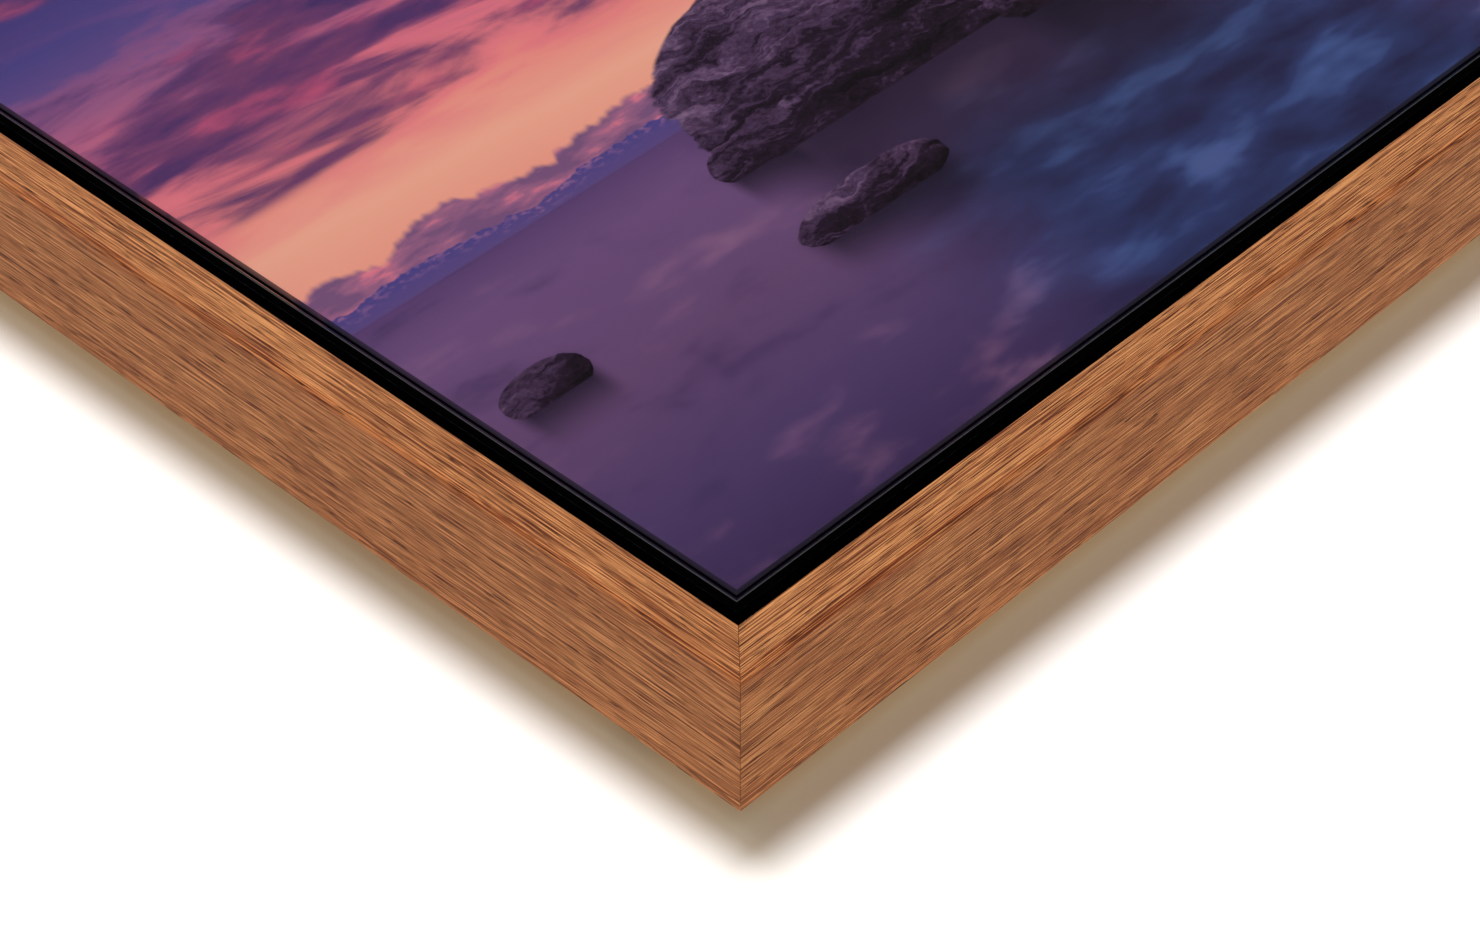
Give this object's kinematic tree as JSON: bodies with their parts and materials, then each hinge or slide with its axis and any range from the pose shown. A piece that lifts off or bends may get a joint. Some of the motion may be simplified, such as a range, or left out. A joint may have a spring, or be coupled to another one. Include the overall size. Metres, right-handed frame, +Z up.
{
  "type": "floating frame",
  "caption": "Slim wooden floating frame with a dark shadow gap round an acrylic-faced print on a composite panel, screwed to the rails through a wooden strainer and hung on swinging D rings.",
  "frame": {"origin": "centre of the picture on the wall plane, which the four bumpers touch", "axes": "+X to the picture's right as seen from the front, +Y into the wall, +Z up"},
  "size_m": [0.485, 0.038, 0.335],
  "materials": {
    "frame_wood": "stained hardwood, open grain, satin oil; black-painted inner faces",
    "strainer_wood": "planed, unfinished softwood",
    "acrylic": "clear cast acrylic, polished",
    "print": null,
    "panel_skin": "thin rolled aluminium skin",
    "panel_core": "black polyethylene core",
    "bond_tape": "white foam tape",
    "screw_steel": "zinc plated",
    "nail_steel": "bright sheet steel",
    "hanger_steel": "zinc-plated sheet steel and wire",
    "bumper": "soft self-adhesive rubber"
  },
  "bodies": {
    "frame": {"bond_tape_bottom": "bond_tape", "bond_tape_left": "bond_tape", "bond_tape_right": "bond_tape", "bond_tape_top": "bond_tape", "bumper_bottom_left": "bumper", "bumper_bottom_right": "bumper", "bumper_top_left": "bumper", "bumper_top_right": "bumper", "corrugated_nail_bottom_left": "nail_steel", "corrugated_nail_bottom_right": "nail_steel", "corrugated_nail_top_left": "nail_steel", "corrugated_nail_top_right": "nail_steel", "glazing_sheet": "acrylic", "hanger_screw_left_1": "screw_steel", "hanger_screw_left_2": "screw_steel", "hanger_screw_right_1": "screw_steel", "hanger_screw_right_2": "screw_steel", "hanger_strap_left": "hanger_steel", "hanger_strap_right": "hanger_steel", "ledge_screw_bottom_1": "screw_steel", "ledge_screw_bottom_2": "screw_steel", "ledge_screw_bottom_3": "screw_steel", "ledge_screw_left_1": "screw_steel", "ledge_screw_left_2": "screw_steel", "ledge_screw_right_1": "screw_steel", "ledge_screw_right_2": "screw_steel", "ledge_screw_top_1": "screw_steel", "ledge_screw_top_2": "screw_steel", "ledge_screw_top_3": "screw_steel", "panel_back_skin": "panel_skin", "panel_core": "panel_core", "panel_front_skin": "panel_skin", "print_film": "print", "rail_bottom": "frame_wood", "rail_left": "frame_wood", "rail_right": "frame_wood", "rail_top": "frame_wood", "strainer_bottom": "strainer_wood", "strainer_left": "strainer_wood", "strainer_right": "strainer_wood", "strainer_top": "strainer_wood", "v_nail_bottom_left_inner": "nail_steel", "v_nail_bottom_left_outer": "nail_steel", "v_nail_bottom_right_inner": "nail_steel", "v_nail_bottom_right_outer": "nail_steel", "v_nail_top_left_inner": "nail_steel", "v_nail_top_left_outer": "nail_steel", "v_nail_top_right_inner": "nail_steel", "v_nail_top_right_outer": "nail_steel"},
    "hanger_ring_left": {"hanger_ring_left": "hanger_steel"},
    "hanger_ring_right": {"hanger_ring_right": "hanger_steel"}
  },
  "joints": [
    {"name": "ring_swing_left", "type": "hinge", "parent": "frame", "child": "hanger_ring_left", "pos_m": [-0.2225, -0.0025, 0.084], "axis": [-1, 0, 0], "range_deg": [0, 183.5]},
    {"name": "ring_swing_right", "type": "hinge", "parent": "frame", "child": "hanger_ring_right", "pos_m": [0.2225, -0.0025, 0.084], "axis": [-1, 0, 0], "range_deg": [0, 183.5]}
  ]
}
